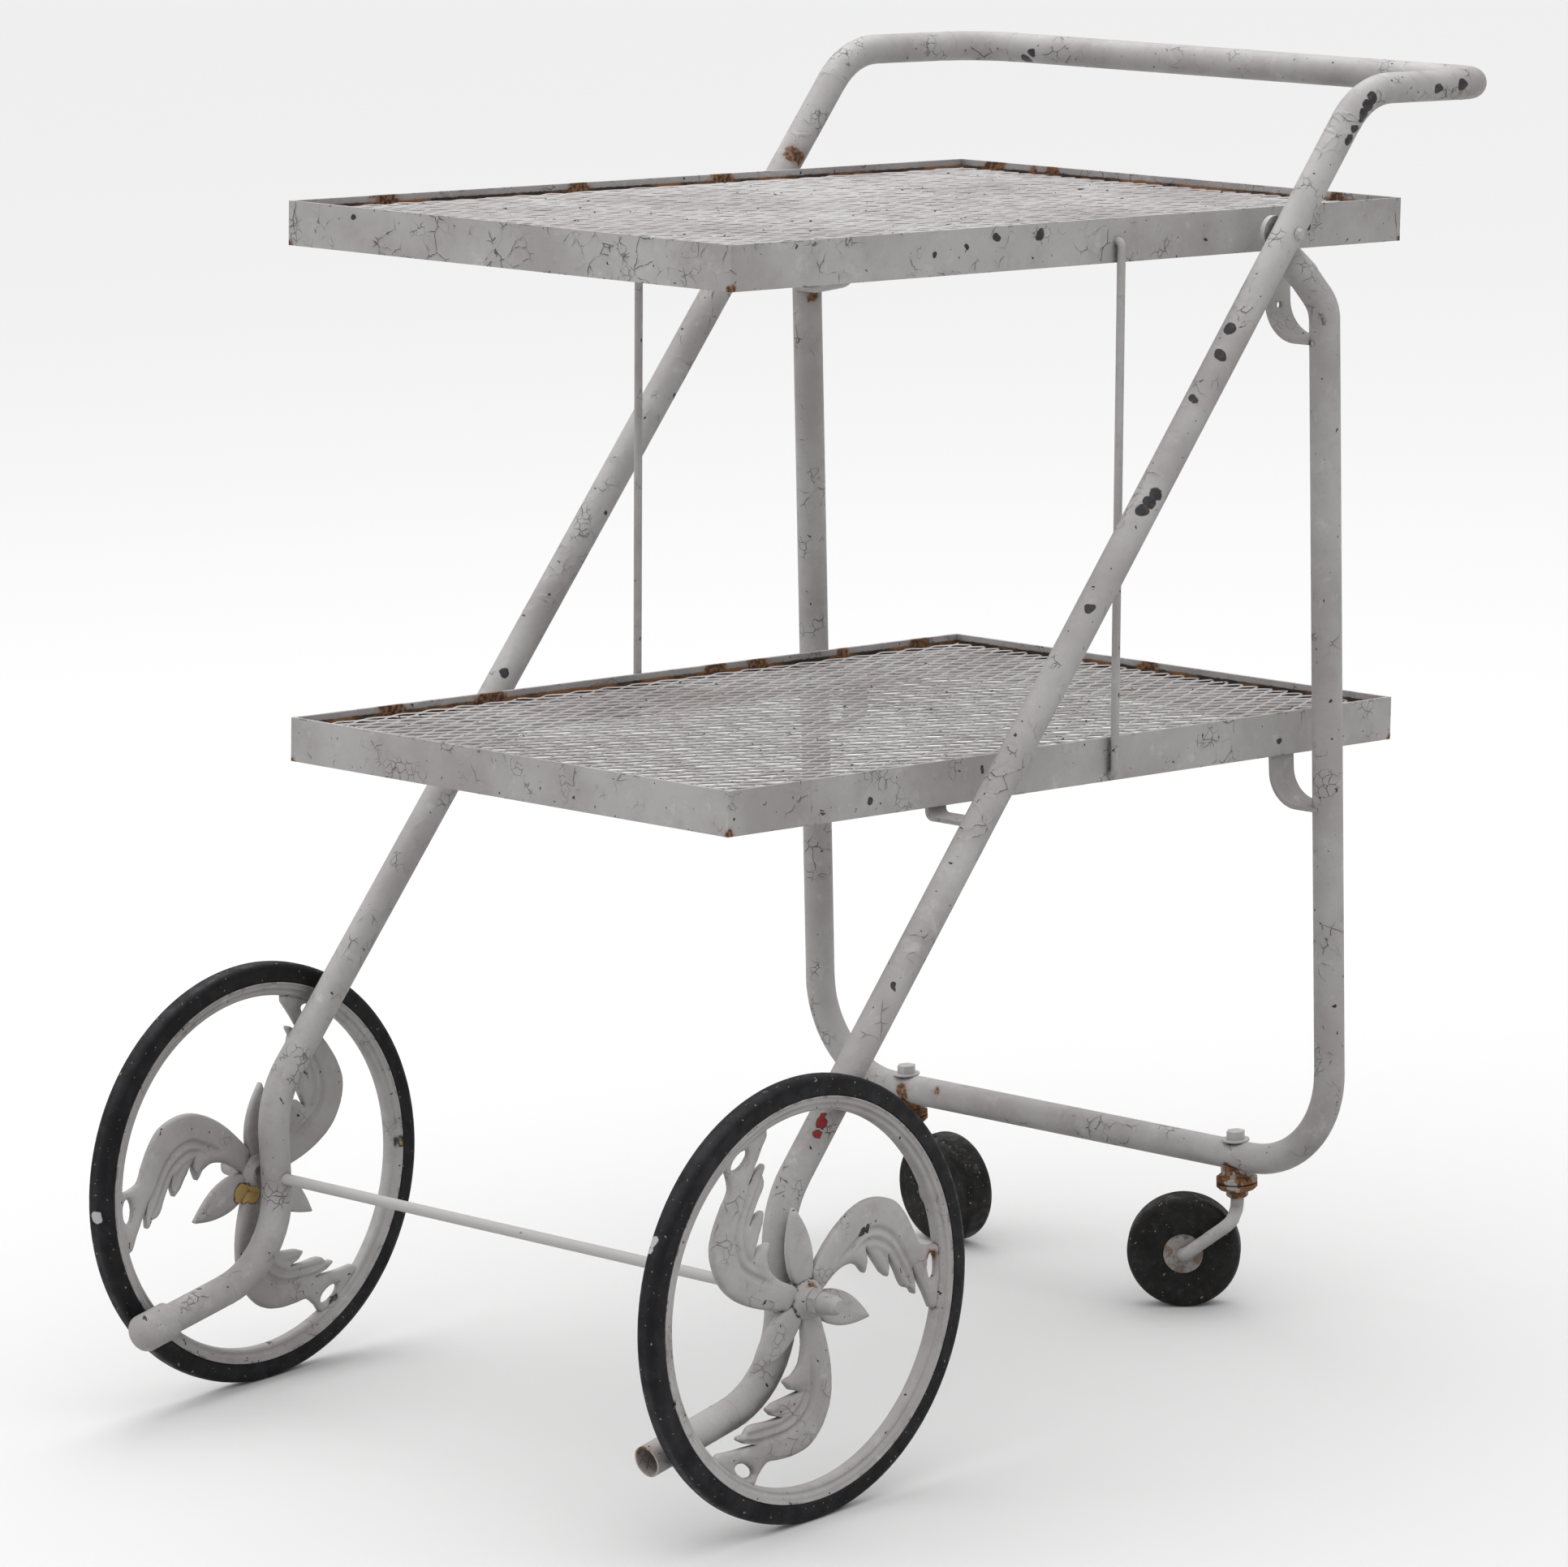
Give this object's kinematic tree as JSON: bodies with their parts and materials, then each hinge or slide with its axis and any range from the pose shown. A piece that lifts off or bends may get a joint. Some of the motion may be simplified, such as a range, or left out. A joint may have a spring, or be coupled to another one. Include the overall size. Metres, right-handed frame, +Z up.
{
  "type": "two-tier serving cart",
  "caption": "Two-tier patio serving cart of bent white tube with expanded-metal shelves, cast leaf-spoke front wheels and swivel casters under the push-handle end.",
  "frame": {"origin": "on the ground, under the middle of the cart's length and width", "axes": "+X to the cart's right seen from behind the push handle, -Y the front with the large wheels, +Y the push handle, +Z up"},
  "size_m": [0.613, 0.9395, 0.8988],
  "materials": {
    "old_white_paint": "aged off-white paint, chipped and rust-stained",
    "painted_casting": "aged off-white paint on a rough casting",
    "wheel_rubber": "matt black, speckled",
    "caster_rubber": "matt, dusty brown-black",
    "worn_steel": "dull, spotted with rust",
    "rusty_steel": "rusted through its paint"
  },
  "bodies": {
    "frame": {"handle_frame": "old_white_paint", "rear_frame": "old_white_paint", "toe_cap": "old_white_paint", "frame_rivets": "old_white_paint", "top_shelf_rim": "old_white_paint", "top_shelf_mesh": "old_white_paint", "lower_shelf_rim": "old_white_paint", "lower_shelf_mesh": "old_white_paint", "tie_rod_left": "old_white_paint", "tie_rod_right": "old_white_paint", "top_strap_left": "old_white_paint", "top_strap_right": "old_white_paint", "lower_strap_left": "old_white_paint", "lower_strap_right": "old_white_paint", "front_strap_left": "old_white_paint", "front_strap_right": "old_white_paint", "axle_rod": "worn_steel", "axle_washers": "worn_steel", "cap_nut_left": "old_white_paint", "cap_nut_right": "old_white_paint", "caster_bolts": "worn_steel", "caster_bolt_washers": "worn_steel", "caster_collars": "rusty_steel", "caster_top_races": "rusty_steel", "caster_balls": "worn_steel"},
    "wheel_left": {"wheel_casting_left": "painted_casting", "tyre_left": "wheel_rubber"},
    "caster_left": {"caster_race_left": "rusty_steel", "caster_rod_left": "old_white_paint", "caster_clip_left": "worn_steel"},
    "caster_wheel_left": {"caster_core_left": "worn_steel", "caster_tyre_left": "caster_rubber"},
    "wheel_right": {"wheel_casting_right": "painted_casting", "tyre_right": "wheel_rubber"},
    "caster_right": {"caster_race_right": "rusty_steel", "caster_rod_right": "old_white_paint", "caster_clip_right": "worn_steel"},
    "caster_wheel_right": {"caster_core_right": "worn_steel", "caster_tyre_right": "caster_rubber"}
  },
  "joints": [
    {"name": "wheel_spin_left", "type": "hinge", "parent": "frame", "child": "wheel_left", "pos_m": [-0.2741, -0.3173, 0.1524], "axis": [1, 0, 0], "continuous": true},
    {"name": "caster_swivel_left", "type": "hinge", "parent": "frame", "child": "caster_left", "pos_m": [-0.165, 0.2467, 0.09], "axis": [0, 0, 1], "continuous": true},
    {"name": "caster_spin_left", "type": "hinge", "parent": "caster_left", "child": "caster_wheel_left", "pos_m": [-0.12515, 0.24321, 0.0415], "axis": [0.0872, 0.9962, 0], "continuous": true},
    {"name": "wheel_spin_right", "type": "hinge", "parent": "frame", "child": "wheel_right", "pos_m": [0.2741, -0.3173, 0.1524], "axis": [1, 0, 0], "continuous": true},
    {"name": "caster_swivel_right", "type": "hinge", "parent": "frame", "child": "caster_right", "pos_m": [0.165, 0.2467, 0.09], "axis": [0, 0, 1], "continuous": true},
    {"name": "caster_spin_right", "type": "hinge", "parent": "caster_right", "child": "caster_wheel_right", "pos_m": [0.13391, 0.22153, 0.0415], "axis": [0.6293, -0.7771, 0], "continuous": true}
  ]
}
